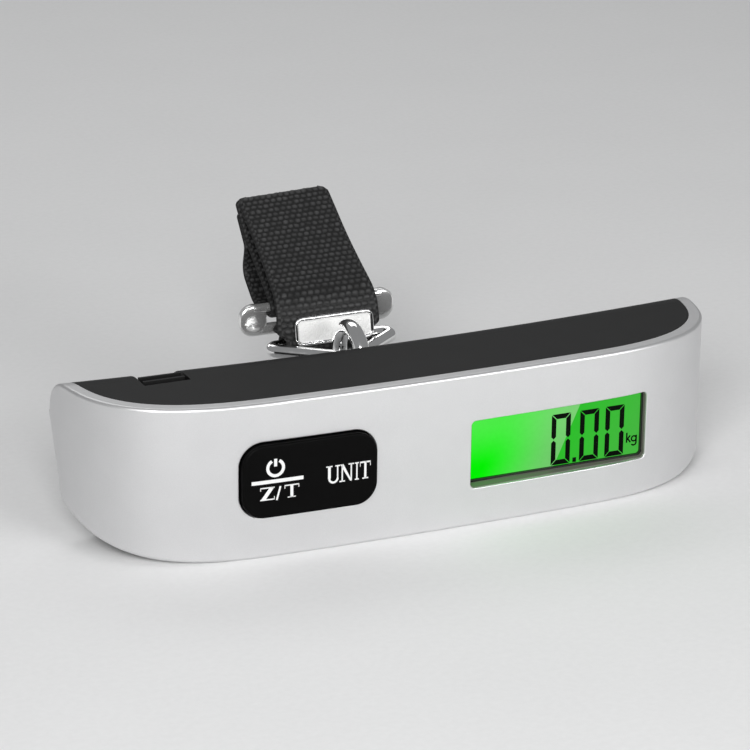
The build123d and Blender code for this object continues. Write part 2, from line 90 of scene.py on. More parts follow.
class Nodes:
    """A material's node tree, with the Principled shader at its end."""

    # Sockets of the Mix node when it mixes colours
    MIX_SHARE, MIX_FIRST, MIX_SECOND, MIX_RESULT = 0, 6, 7, 2

    def __init__(self, name):
        self.material = bpy.data.materials.new(name)
        self.material.use_nodes = True
        self.tree = self.material.node_tree
        self.shader = self.tree.nodes["Principled BSDF"]

    def add(self, kind, inputs=(), **settings):
        node = self.tree.nodes.new(kind)
        for key, value in settings.items():
            setattr(node, key, value)
        for socket, value in dict(inputs).items():
            if isinstance(value, bpy.types.NodeSocket):
                self.tree.links.new(value, node.inputs[socket])
            else:
                node.inputs[socket].default_value = value
        return node

    def place(self):
        """Object coordinates in millimetres."""
        where = self.add("ShaderNodeTexCoord").outputs["Object"]
        return self.add("ShaderNodeVectorMath", {0: where, 1: (1 / MM,) * 3},
                        operation="MULTIPLY").outputs[0]

    def noise(self, scale, detail=2.0, rough=0.5, where=None):
        """Noise whose grains are about 1/scale millimetres."""
        inputs = {"Vector": where or self.place(), "Scale": scale, "Detail": detail, "Roughness": rough}
        return self.add("ShaderNodeTexNoise", inputs).outputs["Fac"]

    def span(self, value, low, high, to_low, to_high, smooth=False):
        """Maps a value from one range to another."""
        inputs = {"Value": value, "From Min": low, "From Max": high, "To Min": to_low, "To Max": to_high}
        kind = "SMOOTHSTEP" if smooth else "LINEAR"
        return self.add("ShaderNodeMapRange", inputs, interpolation_type=kind).outputs["Result"]

    def mix(self, share, first, second):
        """Mixes two colours."""
        node = self.add("ShaderNodeMix", data_type="RGBA")
        for index, value in ((self.MIX_SHARE, share), (self.MIX_FIRST, first), (self.MIX_SECOND, second)):
            if isinstance(value, bpy.types.NodeSocket):
                self.tree.links.new(value, node.inputs[index])
            else:
                node.inputs[index].default_value = value if index == self.MIX_SHARE else (*value, 1)
        return node.outputs[self.MIX_RESULT]

    def math(self, operation, *values):
        return self.add("ShaderNodeMath", dict(enumerate(values)), operation=operation).outputs[0]

    def bump(self, height, strength, distance):
        """Raises the surface by a height, with the distance in millimetres."""
        inputs = {"Height": height, "Strength": strength, "Distance": distance * MM}
        self.set("Normal", self.add("ShaderNodeBump", inputs).outputs["Normal"])

    def set(self, socket, value):
        if isinstance(value, bpy.types.NodeSocket):
            self.tree.links.new(value, self.shader.inputs[socket])
        else:
            self.shader.inputs[socket].default_value = value


def plain_grained(name, dark, light, rough, grain, metallic=0.0, bump=0.15, depth=0.03):
    """A surface of one colour with fine grain in its colour, gloss and height."""
    n = Nodes(name)
    where = n.place()
    fine = n.noise(grain, 3.0, 0.6, where)
    broad = n.noise(grain / 25, 2.0, 0.5, where)
    both = n.math("MULTIPLY_ADD", fine, 0.7, n.math("MULTIPLY", broad, 0.3))
    n.set("Base Color", n.mix(n.span(both, 0.3, 0.7, 0, 1), dark, light))
    n.set("Roughness", n.span(fine, 0.3, 0.7, rough[0], rough[1]))
    n.set("Metallic", metallic)
    n.bump(fine, bump, depth)
    return n


def silver_shell():
    """Fine-grained silver paint, with sparkle in its grains."""
    n = plain_grained("silver_shell", (0.64, 0.64, 0.645), (0.69, 0.69, 0.695), (0.38, 0.44), 4.0,
                      metallic=0.8, bump=0.22, depth=0.03)
    return n.material


def black_shell():
    """Satin black moulded plastic with a fine spark-eroded texture."""
    n = plain_grained("black_shell", (0.006, 0.006, 0.006), (0.011, 0.011, 0.011), (0.42, 0.54), 4.0,
                      bump=0.25, depth=0.03)
    n.set("Specular IOR Level", 0.18)
    return n.material


def black_key():
    n = plain_grained("black_key", (0.001, 0.001, 0.001), (0.002, 0.002, 0.002), (0.40, 0.50), 7.0,
                      bump=0.12, depth=0.02)
    n.set("Specular IOR Level", 0.05)
    return n.material


def chrome():
    """Bright plating with faint haze and fine scratches."""
    n = Nodes("chrome")
    where = n.place()
    haze = n.noise(0.5, 3.0, 0.6, where)
    stretched = n.add("ShaderNodeMapping", {"Vector": where, "Scale": (0.3, 9.0, 9.0)}).outputs[0]
    scratch = n.noise(2.0, 4.0, 0.7, stretched)
    n.set("Base Color", n.mix(haze, (0.86, 0.86, 0.87), (0.92, 0.92, 0.91)))
    n.set("Roughness", n.span(haze, 0.35, 0.7, 0.07, 0.14))
    n.set("Metallic", 1.0)
    n.bump(scratch, 0.06, 0.01)
    return n.material


def satin_chrome():
    """Plating a little duller than the rods', for the pressed toggle."""
    n = plain_grained("satin_chrome", (0.92, 0.92, 0.92), (0.98, 0.98, 0.97), (0.14, 0.22), 4.0,
                      metallic=0.82, bump=0.05, depth=0.02)
    return n.material


def clamp_finish():
    """Nickel plating over a blasted face, as on the clamp plate's middle."""
    n = plain_grained("clamp_finish", (0.86, 0.86, 0.85), (0.98, 0.98, 0.97), (0.40, 0.62), 2.4,
                      metallic=0.45, bump=1.0, depth=0.16)
    return n.material


def webbing():
    """Woven black nylon, with a painted highlight on the yarns' crowns and painted shade in the gaps, and
    filaments that run along.
    """
    n = Nodes("webbing")
    painted_light = n.add("ShaderNodeAttribute", attribute_name="painted_light").outputs["Fac"]
    along = n.add("ShaderNodeUVMap", uv_map="weave").outputs[0]
    thin = n.add("ShaderNodeMapping", {"Vector": along, "Scale": (9.0, 1.2, 1.0)}).outputs[0]
    filament = n.noise(1.6, 3.0, 0.6, thin)
    # Painted highlight on the yarns' crowns, unevenly bright at random, and painted shade in the gaps, by the
    # weave height stored on each point
    highlight_unevenness = n.noise(0.22, 3.0, 0.6)
    crown = n.mix(highlight_unevenness, (0.036, 0.036, 0.037), (0.066, 0.066, 0.067))
    colour = n.mix(n.span(painted_light, 0.35, 0.95, 0, 1), (0.005, 0.005, 0.005), crown)
    n.set("Base Color", n.mix(n.span(filament, 0.45, 0.75, 0, 0.30), colour, (0.05, 0.05, 0.05)))
    n.set("Roughness", n.span(filament, 0.3, 0.7, 0.45, 0.65))
    n.set("Specular IOR Level", 0.30)
    n.set("Sheen Weight", 0.06)
    n.set("Sheen Roughness", 0.4)
    n.bump(filament, 0.35, 0.05)
    return n.material


def thread():
    n = plain_grained("thread", (0.010, 0.010, 0.010), (0.045, 0.045, 0.045), (0.45, 0.6), 9.0,
                      bump=0.5, depth=0.05)
    return n.material


# Backlit display with a painted reflection: a whitish glare over the left of the panel, in its colour and its
# glow, that ends at a diagonal edge
SHEEN_FOOT = (31.4, 9.6)       # a point (x, z) on the edge
SHEEN_LEAN = 0.449             # how far the edge moves in x as z rises by 1


def display():
    """The liquid crystal panel, lit green, with a painted reflection that brightens its left part."""
    n = Nodes("display")
    x, _, z = n.add("ShaderNodeSeparateXYZ", {0: n.place()}).outputs
    edge = n.math("MULTIPLY_ADD", z, -SHEEN_LEAN, SHEEN_LEAN * SHEEN_FOOT[1] - SHEEN_FOOT[0])
    past = n.math("ADD", x, edge)
    # Painted reflection: left of the diagonal edge the green turns whitish, more so towards the top
    left = n.mix(n.span(past, -20, 1, 0, 1, smooth=True), (0.0, 1.0, 0.0), (0.20, 0.66, 0.18))
    left = n.mix(n.span(z, 12, 24, 0, 0.25, smooth=True), left, (0.34, 0.87, 0.30))
    right = n.mix(n.span(past, 0, 20, 0, 1), (0.030, 0.58, 0.028), (0.07, 0.52, 0.06))
    lit = n.mix(n.span(past, -0.06, 0.06, 0, 1), left, right)
    cloud = n.noise(0.9, 2.0, 0.5)
    lit = n.mix(n.span(cloud, 0.3, 0.7, 0, 0.05), lit, (0.0, 0.45, 0.0))
    n.set("Base Color", n.mix(0.98, lit, (0, 0, 0)))
    n.set("Emission Color", lit)
    n.set("Emission Strength", 0.86)
    n.set("Roughness", 0.12)
    n.set("Specular IOR Level", 0.02)
    return n.material


def ink(name, colour, rough, gloss):
    dark = tuple(0.8 * c for c in colour)
    n = plain_grained(name, dark, colour, rough, 8.0, bump=0.08, depth=0.01)
    n.set("Specular IOR Level", gloss)
    return n.material


# One finish for each of the record's material slots: (darker, lighter, roughness, grain, metallic)
INNER_FINISHES = {
    "bezel_plastic": ((0.006, 0.006, 0.006), (0.014, 0.013, 0.012), (0.30, 0.45), 5.0, 0.0),
    "acrylic": ((0.60, 0.66, 0.60), (0.70, 0.75, 0.70), (0.08, 0.14), 3.0, 0.0),
    "silicone": ((0.10, 0.10, 0.11), (0.55, 0.55, 0.56), (0.45, 0.60), 2.0, 0.0),
    "board": ((0.006, 0.075, 0.020), (0.012, 0.110, 0.035), (0.30, 0.42), 1.5, 0.0),
    "epoxy": ((0.006, 0.006, 0.007), (0.015, 0.015, 0.016), (0.20, 0.36), 2.0, 0.0),
    "switch_plastic": ((0.03, 0.03, 0.03), (0.06, 0.06, 0.06), (0.35, 0.50), 3.0, 0.0),
    "steel": ((0.42, 0.42, 0.42), (0.58, 0.58, 0.57), (0.28, 0.40), 3.0, 1.0),
    "foil": ((0.65, 0.38, 0.12), (0.80, 0.50, 0.20), (0.20, 0.35), 4.0, 0.6),
    "battery": ((0.55, 0.55, 0.54), (0.70, 0.70, 0.69), (0.22, 0.34), 2.0, 1.0),
    "spring_steel": ((0.50, 0.48, 0.44), (0.66, 0.64, 0.60), (0.18, 0.30), 4.0, 1.0),
    "screw": ((0.30, 0.30, 0.31), (0.44, 0.44, 0.45), (0.25, 0.38), 4.0, 1.0),
}

finishes = {slot: plain_grained(slot, dark, light, rough, grain, metallic).material
            for slot, (dark, light, rough, grain, metallic) in INNER_FINISHES.items()}
finishes.update(silver_shell=silver_shell(), black_shell=black_shell(), black_key=black_key(),
                chrome=chrome(), webbing=webbing(), display=display())

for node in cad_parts.values():
    for slot in node.material_slots:
        slot.material = finishes[slot.material.name.split(".")[0]]


# ---------------------------------------------------------------- mesh helpers

def mesh_object(name, points, faces, material, body, smooth=True):
    """A closed mesh from points in millimetres, riding on a body."""
    mesh = bpy.data.meshes.new(name)
    mesh.from_pydata([Vector(p) * MM for p in points], [], faces)
    mesh.polygons.foreach_set("use_smooth", [smooth] * len(mesh.polygons))
    mesh.materials.append(material)
    piece = bpy.data.objects.new(name, mesh)
    bpy.context.collection.objects.link(piece)
    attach(piece, body)
    return piece


def creased(piece, degrees):
    """Keeps edges sharper than an angle hard in the shading."""
    piece.data.set_sharp_from_angle(angle=math.radians(degrees))


def outward(piece):
    mesh = bmesh.new()
    mesh.from_mesh(piece.data)
    bmesh.ops.recalc_face_normals(mesh, faces=mesh.faces)
    mesh.to_mesh(piece.data)
    mesh.free()


def rounded_loop(half_x, half_z, radius, inset=0.0, count=8):
    """Points round a rounded rectangle, each corner an arc."""
    radius = max(radius - inset, 0.05)
    half_x, half_z = half_x - inset, half_z - inset
    points = []
    for corner, (sx, sz) in enumerate(((1, 1), (-1, 1), (-1, -1), (1, -1))):
        for step in range(count + 1):
            angle = math.pi / 2 * (corner + step / count)
            points.append((sx * (half_x - radius) + radius * math.cos(angle),
                           sz * (half_z - radius) + radius * math.sin(angle)))
    return points


def lofted(rings):
    """Faces that join rings of equal length, with both ends capped."""
    count = len(rings[0])
    points = [p for ring in rings for p in ring]
    faces = []
    for level in range(len(rings) - 1):
        for k in range(count):
            a, b = level * count + k, level * count + (k + 1) % count
            faces.append((a, b, b + count, a + count))
    faces.append(tuple(range(count))[::-1])
    last = (len(rings) - 1) * count
    faces.append(tuple(range(last, last + count)))
    return points, faces


def tube(path, radius, sides=16):
    """A round tube along a list of points, with its ends capped."""
    path = [Vector(p) for p in path]
    turn = [2 * math.pi * k / sides for k in range(sides)]
    side = (path[1] - path[0]).orthogonal()
    rings = []
    for i, p in enumerate(path):
        ahead = (path[min(i + 1, len(path) - 1)] - path[max(i - 1, 0)]).normalized()
        side = (side - ahead * side.dot(ahead)).normalized()
        other = ahead.cross(side)
        rings.append([p + (side * math.cos(a) + other * math.sin(a)) * radius for a in turn])
    return lofted(rings)


def joined(*parts):
    """Several (points, faces) as one."""
    points, faces = [], []
    for some, their in parts:
        faces += [tuple(k + len(points) for k in face) for face in their]
        points += some
    return points, faces


# ---------------------------------------------------------------- strap

RING_LOW, RING_HIGH = box_mm("triangle_ring")
RING_ROD = (RING_HIGH.z - RING_LOW.z) / 2
BAR = Vector((RING_HIGH.y - RING_ROD, (RING_LOW.z + RING_HIGH.z) / 2))       # ring's base bar (y, z)
TOGGLE_LOW, TOGGLE_HIGH = box_mm("toggle_plate")
TOGGLE_ROD = (TOGGLE_HIGH.y - TOGGLE_LOW.y) / 2
ROD = Vector(((TOGGLE_LOW.y + TOGGLE_HIGH.y) / 2, TOGGLE_HIGH.z - TOGGLE_ROD))  # toggle's rod (y, z)
STRAP_LOW, STRAP_HIGH = box_mm("strap_webbing")
STRAP_X = (STRAP_LOW.x + STRAP_HIGH.x) / 2
WEBBING = 1.3                  # thickness of the webbing
PLAY = 0.1                     # between the webbing and a rod
HALF_WIDTH = 12.0
FLARE = 1.45                   # how much wider each side is above the clamp
FLARE_Z = (31.0, 49.0)         # over this height the flare fades out
PINCHED = 11.3                 # half width between the ring's corners
RIB, CORE = 0.36, WEBBING / 2 - 0.24      # height of the weave, and what it stands on
ROW, COLUMN = 1.45, 0.85       # pitch of the weave along and across
STEPS_PER_ROW, STEPS_PER_COLUMN = 4, 4
END_CORNER, FOLD_CORNER = 1.2, 2.0        # rounding at the ends and at the fold
TILT, TILT_Z = 0.4, (38.0, 55.0)          # one edge rises towards the fold

# Side view of the webbing, as (y, z)
BEND, BEND_RADIUS = Vector((49.7, 36.6)), 9.0
LEAN = math.radians(33.7)      # how the loop rises from the bend
FOLD = 0.75                    # radius of the fold
SHORT_END = Vector((50.2, 31.4))
SAG, SAG_RADIUS = Vector((72.4, 46.4)), 7.0      # where the rear ply and the sewn tail meet
TAIL_FOOT, TAIL_FOOT_RADIUS = Vector((67.0, 31.3)), 6.0
TAIL_BACK, TAIL_BACK_RADIUS = Vector((74.2, 37.4)), 4.5
SEWN = 7.5                     # length of the tail sewn to the rear ply
SNUG = 0.98                    # radius of a bend round a rod, as a share of the room it has
ARC_STEPS = 24


def strap_corners():
    """Corners (point, radius) of the webbing's middle line in the side view."""
    round_bar = RING_ROD + PLAY + WEBBING / 2
    round_rod = TOGGLE_ROD + PLAY + WEBBING / 2
    up = Vector((math.cos(LEAN), math.sin(LEAN)))
    back = Vector((up.y, -up.x))
    top = Vector((STRAP_HIGH.y - FOLD - WEBBING / 2 - FOLD * math.sin(LEAN) - 0.05, 0))
    top.y = BEND.y + (top.x - BEND.x) * math.tan(LEAN)
    under = top + back * 2 * FOLD
    chord = SAG - ROD
    slope = math.atan2(chord.y, chord.x) - math.asin(round_rod / chord.length)
    down, out = Vector((math.cos(slope), math.sin(slope))), Vector((-math.sin(slope), math.cos(slope)))
    rise = (under - SAG).normalized()
    sewn = SAG + Vector((rise.y, -rise.x)) * (WEBBING + 0.1)
    return [
        (SHORT_END, 0),
        (Vector((BAR.x + round_bar, BAR.y + 1.0)), 1.5),
        (Vector((BAR.x + round_bar, BAR.y - round_bar)), round_bar * SNUG),
        (Vector((BAR.x - round_bar, BAR.y - round_bar)), round_bar * SNUG),
        (Vector((BAR.x - round_bar, BAR.y + 1.0)), 3.0),
        (BEND, BEND_RADIUS),
        (top + up * FOLD, FOLD * 0.95),
        (under + up * FOLD, FOLD * 0.95),
        (SAG, SAG_RADIUS),
        (ROD + out * round_rod - down * round_rod, round_rod * SNUG),
        (Vector((ROD.x - round_rod, ROD.y - round_rod)), round_rod * 0.9),
        (TAIL_FOOT, TAIL_FOOT_RADIUS),
        (TAIL_BACK, TAIL_BACK_RADIUS),
        (sewn - rise * 1.5, 2.0),
        (sewn + rise * SEWN, 0),
    ]


def rounded_path(corners, step):
    """Evenly spaced points along straight runs joined by arcs that round the corners."""
    dense = [corners[0][0]]
    for (before, _), (corner, radius), (after, _) in zip(corners, corners[1:], corners[2:]):
        into, away = (corner - before).normalized(), (after - corner).normalized()
        turn = into.angle_signed(away)
        reach = radius * math.tan(abs(turn) / 2)
        start = corner - into * reach
        centre = start + Vector((-into.y, into.x)) * radius * (-1 if turn > 0 else 1)
        for k in range(ARC_STEPS + 1):
            dense.append(centre + Matrix.Rotation(-turn * k / ARC_STEPS, 2) @ (start - centre))
    dense.append(corners[-1][0])
    lengths = [0]
    for a, b in zip(dense, dense[1:]):
        lengths.append(lengths[-1] + (b - a).length)
    count = round(lengths[-1] / step)
    path, k = [], 0
    for i in range(count + 1):
        at = lengths[-1] * i / count
        while k < len(dense) - 2 and lengths[k + 1] < at:
            k += 1
        share = (at - lengths[k]) / max(lengths[k + 1] - lengths[k], 1e-9)
        path.append(dense[k].lerp(dense[k + 1], share))
    return path


def eased(value, low, high):
    """Goes smoothly from 0 to 1 as a value goes from low to high."""
    share = min(max((value - low) / (high - low), 0), 1)
    return share * share * (3 - 2 * share)


def half_width(z):
    """The webbing is pinched at the ring and spreads a little above it."""
    wide = HALF_WIDTH + FLARE * (1 - eased(z, *FLARE_Z))
    return PINCHED + (wide - PINCHED) * eased(z, BAR.y + 2.0, BAR.y + 4.2)


def off_rods(p):
    """0 where the webbing lies against the ring's bar or the toggle's rod, 1 clear of them."""
    gaps = [(p - rod).length - radius for rod, radius in ((BAR, RING_ROD), (ROD, TOGGLE_ROD))]
    return eased(min(gaps) - PLAY - WEBBING / 2, 0.3, 2.2)


def weave(row, column):
    """Height of the woven surface from 0, in the gaps, to 1, on a yarn's crown: rows like brickwork."""
    row += 0.20 * noise.noise(Vector((row * 0.9, column * 0.35, 2.0)))
    column += 0.20 * noise.noise(Vector((row * 0.7, column * 0.5, 5.0)))
    course = math.floor(row)
    up = row - course - 0.5
    along = (column / 2 + 0.5 * (course % 2)) % 1 - 0.5
    pull = 0.85 + 0.45 * noise.noise(Vector((course * 1.3, column * 0.45, 7.0)))
    return 0.1 + 0.9 * pull * math.cos(math.pi * up) ** 1.5 * (1 - abs(2 * along) ** 2.4) ** 0.8


def corner_cut(i, tip, last):
    """How much narrower each side is where an end or the fold has a round corner."""
    cut = 0
    for steps, corner in ((min(i, last - i), END_CORNER), (abs(i - tip), FOLD_CORNER)):
        off = min(steps * ROW / STEPS_PER_ROW / corner, 1)
        cut += corner * 0.9 * (1 - math.sqrt(1 - (1 - off) ** 2))
    return cut


def webbing_ring(i, p, out, wide, columns):
    """Points round one cross-section of the webbing, with each one's share of painted highlight and chart
    place.
    """
    clear = off_rods(p)
    tilt = TILT * eased(p.y, *TILT_Z)
    row = i / STEPS_PER_ROW
    wave = 0.10 * math.sin(i * 0.021 + 0.6) + 0.06 * math.sin(i * 0.047)
    ring = []
    for side, across in ((1, range(columns + 1)), (-1, range(columns - 1, 0, -1))):
        for j in across:
            share = 2 * j / columns - 1
            column = j / STEPS_PER_COLUMN + (0 if side > 0 else 1)
            height = weave(row, column)
            near_edge = max(abs(share) * HALF_WIDTH - (HALF_WIDTH - 1.0), 0)
            if near_edge:
                height = 0.45 + 0.35 * math.cos(2 * math.pi * row)
            round_off = math.sqrt(max(1 - near_edge ** 2, 0))
            thick = side * (CORE + RIB * height * (0.35 + 0.65 * clear)) * round_off
            cup = wave * (share * share - 0.4) * clear
            place = p + out * (thick + cup)
            point = (STRAP_X + share * wide, place.x, place.y + tilt * share)
            # Share of painted highlight: the weave height, with painted shade towards the rounded edges
            painted_light = height * (0.4 + 0.6 * round_off)
            ring.append((point, painted_light, (share * HALF_WIDTH, i * ROW / STEPS_PER_ROW)))
    return ring


def webbing_faces(rows, columns):
    """Faces between the cross-sections, and a strip of quads across each end."""
    count = 2 * columns
    faces = []
    for i in range(rows - 1):
        for k in range(count):
            a, b = i * count + k, i * count + (k + 1) % count
            faces.append((a, b, b + count, a + count))
    for start in (0, (rows - 1) * count):
        for k in range(columns):
            quad = (start + k, start + k + 1, start + (count - k - 1) % count, start + (count - k) % count)
            quad = tuple(dict.fromkeys(quad))
            faces.append(quad if start else quad[::-1])
    return faces


def strap_webbing():
    """One band of webbing: round the ring's bar, up the front, over the fold, down to the toggle."""
    path = rounded_path(strap_corners(), ROW / STEPS_PER_ROW)
    last = len(path) - 1
    tip = max(range(len(path)), key=lambda i: path[i].y)
    columns = round(2 * (HALF_WIDTH + FLARE / 2) / COLUMN) * STEPS_PER_COLUMN
    ringed = []
    for i, p in enumerate(path):
        ahead = path[min(i + 1, last)] - path[max(i - 1, 0)]
        out = Vector((-ahead.y, ahead.x)).normalized()
        wide = (half_width(p.y) if i < tip else HALF_WIDTH) - corner_cut(i, tip, last)
        ringed += webbing_ring(i, p, out, wide, columns)
    points, painted_lights, charts = zip(*ringed)
    faces = webbing_faces(len(path), columns)
    piece = mesh_object("strap_band", points, faces, finishes["webbing"], "strap")
    # Each point's share of painted highlight and shade goes on the mesh for the webbing's colour
    painted_light = piece.data.attributes.new("painted_light", "FLOAT", "POINT")
    painted_light.data.foreach_set("value", painted_lights)
    chart = piece.data.uv_layers.new(name="weave")
    flat = [c for loop in piece.data.loops for c in charts[loop.vertex_index]]
    chart.data.foreach_set("uv", flat)
    outward(piece)
    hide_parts("strap_webbing")
    return path


strap_path = strap_webbing()


# ---------------------------------------------------------------- hardware on the strap

def placed_plate(rings, origin, lean):
    """Rings of (x, depth, z) put on a plane that leans back by an angle, depth towards the front."""
    turn = Matrix.Rotation(-lean, 3, "X")
    return [[Vector(origin) + turn @ Vector((x, -depth, z)) for x, depth, z in ring] for ring in rings]


# The clamp plate's face as (inset from its outline, height over its back)
CLAMP_THICK, CLAMP_CORNER = 0.9, 1.9
CLAMP_BORDER = ((0.25, 0.0), (0.05, 0.1), (0.0, 0.3), (0.0, 0.5), (0.12, 0.75), (0.3, 0.88),
                (0.5, 0.9), (0.68, 0.84), (0.78, 0.70))
CLAMP_DISH = ((0.88, 0.66), (1.4, 0.64))


def clamp_plate():
    """The plate that clamps the loop: blasted middle inside a polished raised border."""
    low, high = box_mm("clamp_plate")
    half_x = (high.x - low.x) / 2
    lean = math.atan2(BEND.x - (BAR.x - RING_ROD - PLAY - WEBBING / 2), BEND.y - BAR.y)
    half_z = ((high.z - low.z) / 2) / math.cos(lean) - 0.04
    middle = Vector(((low.x + high.x) / 2, 0, (low.z + high.z) / 2))
    middle.y = (low.y + high.y) / 2 + CLAMP_THICK / 2 / math.cos(lean)
    rings = []
    for inset, depth in CLAMP_BORDER + CLAMP_DISH:
        loop = rounded_loop(half_x, half_z, CLAMP_CORNER, inset)
        rings.append([(x, depth, z) for x, z in loop])
    points, faces = lofted(placed_plate(rings, middle, lean))
    piece = mesh_object("clamp_face", points, faces, finishes["chrome"], "strap")
    piece.data.materials.append(clamp_finish())
    round_it, back_cap = len(rings[0]), len(faces) - 2
    dish_start = len(CLAMP_BORDER) * round_it
    for face in piece.data.polygons:
        if face.index >= dish_start and face.index != back_cap:
            face.material_index = 1
    outward(piece)
    creased(piece, 40)
    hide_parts("clamp_plate")


def pillow(centre, half_x, half_z, radius, edge, count=10):
    """A solid plate in x, z whose faces swell like a pillow's, edge thick each way at its middle."""
    most = min(half_x, half_z) - 0.12
    turns = [math.pi / 2 * k / 7 for k in range(8)]
    profile = [(most * (1 - math.cos(a)) ** 3, math.sin(a)) for a in turns]
    rings = []
    for side, steps in ((-1, profile[:0:-1]), (1, profile)):
        for inset, share in steps:
            loop = rounded_loop(half_x, half_z, radius, inset, count)
            rings.append([(centre.x + x, centre.y - side * share * edge, centre.z + z) for x, z in loop])
    return lofted(rings)


TOGGLE_BAR, BAR_CORNER = 1.3, 1.2      # half height of the bar below the ears
EAR_GAP = 0.3                          # between the webbing's edge and an ear


def toggle():
    """Pressed plate with rolled edges: two ears, a bar below and a rod that the webbing goes round."""
    low, high = TOGGLE_LOW, TOGGLE_HIGH
    half_x, half_z = (high.x - low.x) / 2, (high.z - low.z) / 2
    middle = Vector(((low.x + high.x) / 2, ROD.x, (low.z + high.z) / 2))
    edge = TOGGLE_ROD * 0.92
    ear = (half_x - (HALF_WIDTH + abs(STRAP_X - middle.x) + EAR_GAP)) / 2
    parts = [pillow(middle + Vector((side * (half_x - ear), 0, 0)), ear, half_z, ear * 0.96, edge)
             for side in (1, -1)]
    bar = Vector((middle.x, middle.y, low.z + TOGGLE_BAR))
    parts.append(pillow(bar, half_x - ear * 0.7, TOGGLE_BAR, BAR_CORNER, edge * 0.9, 4))
    rod = [(middle.x + x, ROD.x, ROD.y) for x in (-half_x + ear, -5, 5, half_x - ear)]
    parts.append(tube(rod, TOGGLE_ROD * 0.96, sides=24))
    points, faces = joined(*parts)
    piece = mesh_object("toggle_bar", points, faces, satin_chrome(), "toggle")
    outward(piece)
    creased(piece, 45)
    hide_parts("toggle_plate")


clamp_plate()
toggle()


# ---------------------------------------------------------------- display and key prints

PRINT_SUNK = 0.01              # how far a print's back is under the surface
GLASS_PRINT, KEY_PRINT = 0.04, 0.035      # how far a print stands out


def front_of(node):
    """A function that gives the y of a CAD node's front surface at x, z, in millimetres."""
    mesh = bmesh.new()
    mesh.from_mesh(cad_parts[node].data)
    tree = BVHTree.FromBMesh(mesh)
    mesh.free()

    def surface(x, z):
        hit = tree.ray_cast(Vector((x * MM, -0.2, z * MM)), Vector((0, 1, 0)))[0]
        return hit.y / MM
    return surface


def stroke(line, width):
    """A flat ribbon along a line in x, z, as convex pieces with square ends."""
    line = [Vector(p) for p in line]
    edges = []
    for i, p in enumerate(line):
        ahead = (line[min(i + 1, len(line) - 1)] - line[max(i - 1, 0)]).normalized()
        side = Vector((-ahead.y, ahead.x)) * width / 2
        edges.append((p + side, p - side))
    return [[a[0], a[1], b[1], b[0]] for a, b in zip(edges, edges[1:])]


def arc(centre, radius, start, end, count=24):
    turns = [math.radians(start + (end - start) * k / count) for k in range(count + 1)]
    return [(centre[0] + radius * math.cos(a), centre[1] + radius * math.sin(a)) for a in turns]


def from_lowest(face):
    """A face's corners in the same order round it, starting from the lowest index."""
    first = face.index(min(face))
    return face[first:] + face[:first]


def printed(name, polygons, surface, height, material, body):
    """Flat shapes in x, z laid on a surface and given a thickness.

    They are cut into strips 1 mm wide, so that they follow a surface that curves along x.
    """
    mesh = bmesh.new()
    for polygon in polygons:
        mesh.faces.new([mesh.verts.new((p[0], 0, p[1])) for p in polygon])
    low = min(v.co.x for v in mesh.verts)
    high = max(v.co.x for v in mesh.verts)
    cut = math.ceil(low)
    while cut < high:
        everything = mesh.verts[:] + mesh.edges[:] + mesh.faces[:]
        bmesh.ops.bisect_plane(mesh, geom=everything, plane_co=(cut, 0, 0), plane_no=(1, 0, 0))
        cut += 1
    bmesh.ops.remove_doubles(mesh, verts=mesh.verts, dist=0.002)
    raised = bmesh.ops.extrude_face_region(mesh, geom=mesh.faces[:])["geom"]
    top = {v for v in raised if isinstance(v, bmesh.types.BMVert)}
    for v in mesh.verts:
        v.co.y = surface(v.co.x, v.co.z) - (height if v in top else -PRINT_SUNK)
    points = [v.co.copy() for v in mesh.verts]
    mesh.verts.index_update()
    faces = sorted(from_lowest([v.index for v in face.verts]) for face in mesh.faces)
    mesh.free()
    piece = mesh_object(name, points, faces, material, body, smooth=False)
    outward(piece)
    return piece


def rectangle(x0, x1, z0, z1):
    return [(x0, z0), (x1, z0), (x1, z1), (x0, z1)]


GLASS_FRONT = box_mm("display_glass")[0].y
SEGMENT, MITRE_GAP = 1.2, 0.13
DIGIT_WIDTH, DIGIT_LOW, DIGIT_HIGH = 4.95, 9.85, 22.4
DIGIT_STARTS = (30.6, 38.0, 44.65)
POINT_X, POINT_HEIGHT = (36.3, 37.25), 1.15
UNIT_PLACE, UNIT_SIZE = (50.3, 12.6), 2.5

# The display's window in the front shell
WINDOW_X, WINDOW_Z, WINDOW_RADIUS = (7.9, 54.2), (9.2, 25.6), 1.2
# Where the sheet of painted shade on the window's wall lies
SHADE_DEPTHS = (0.35, 3.2)      # where the film starts and ends, behind the shell's face
SHADE_INSETS = (0.02, 0.12)     # its outer and inner skin, from the window's wall


def zero_segments(x0):
    """The six lit segments of a 0, mitred at their corners."""
    x1, z0, z1 = x0 + DIGIT_WIDTH, DIGIT_LOW, DIGIT_HIGH
    mid, t, g = (z0 + z1) / 2, SEGMENT, MITRE_GAP
    level = [(x0 + g, z1), (x1 - g, z1), (x1 - g - t, z1 - t), (x0 + g + t, z1 - t)]
    upright = [(x0, z1 - g), (x0 + t, z1 - g - t), (x0 + t, mid + g + t / 2), (x0 + t / 2, mid + g),
               (x0, mid + g + t / 2)]
    shapes = []
    for up in (1, -1):
        shapes.append([(x, mid + up * (z - mid)) for x, z in level])
        for out in (1, -1):
            centre = (x0 + x1) / 2
            shapes.append([(centre + out * (x - centre), mid + up * (z - mid)) for x, z in upright])
    return shapes


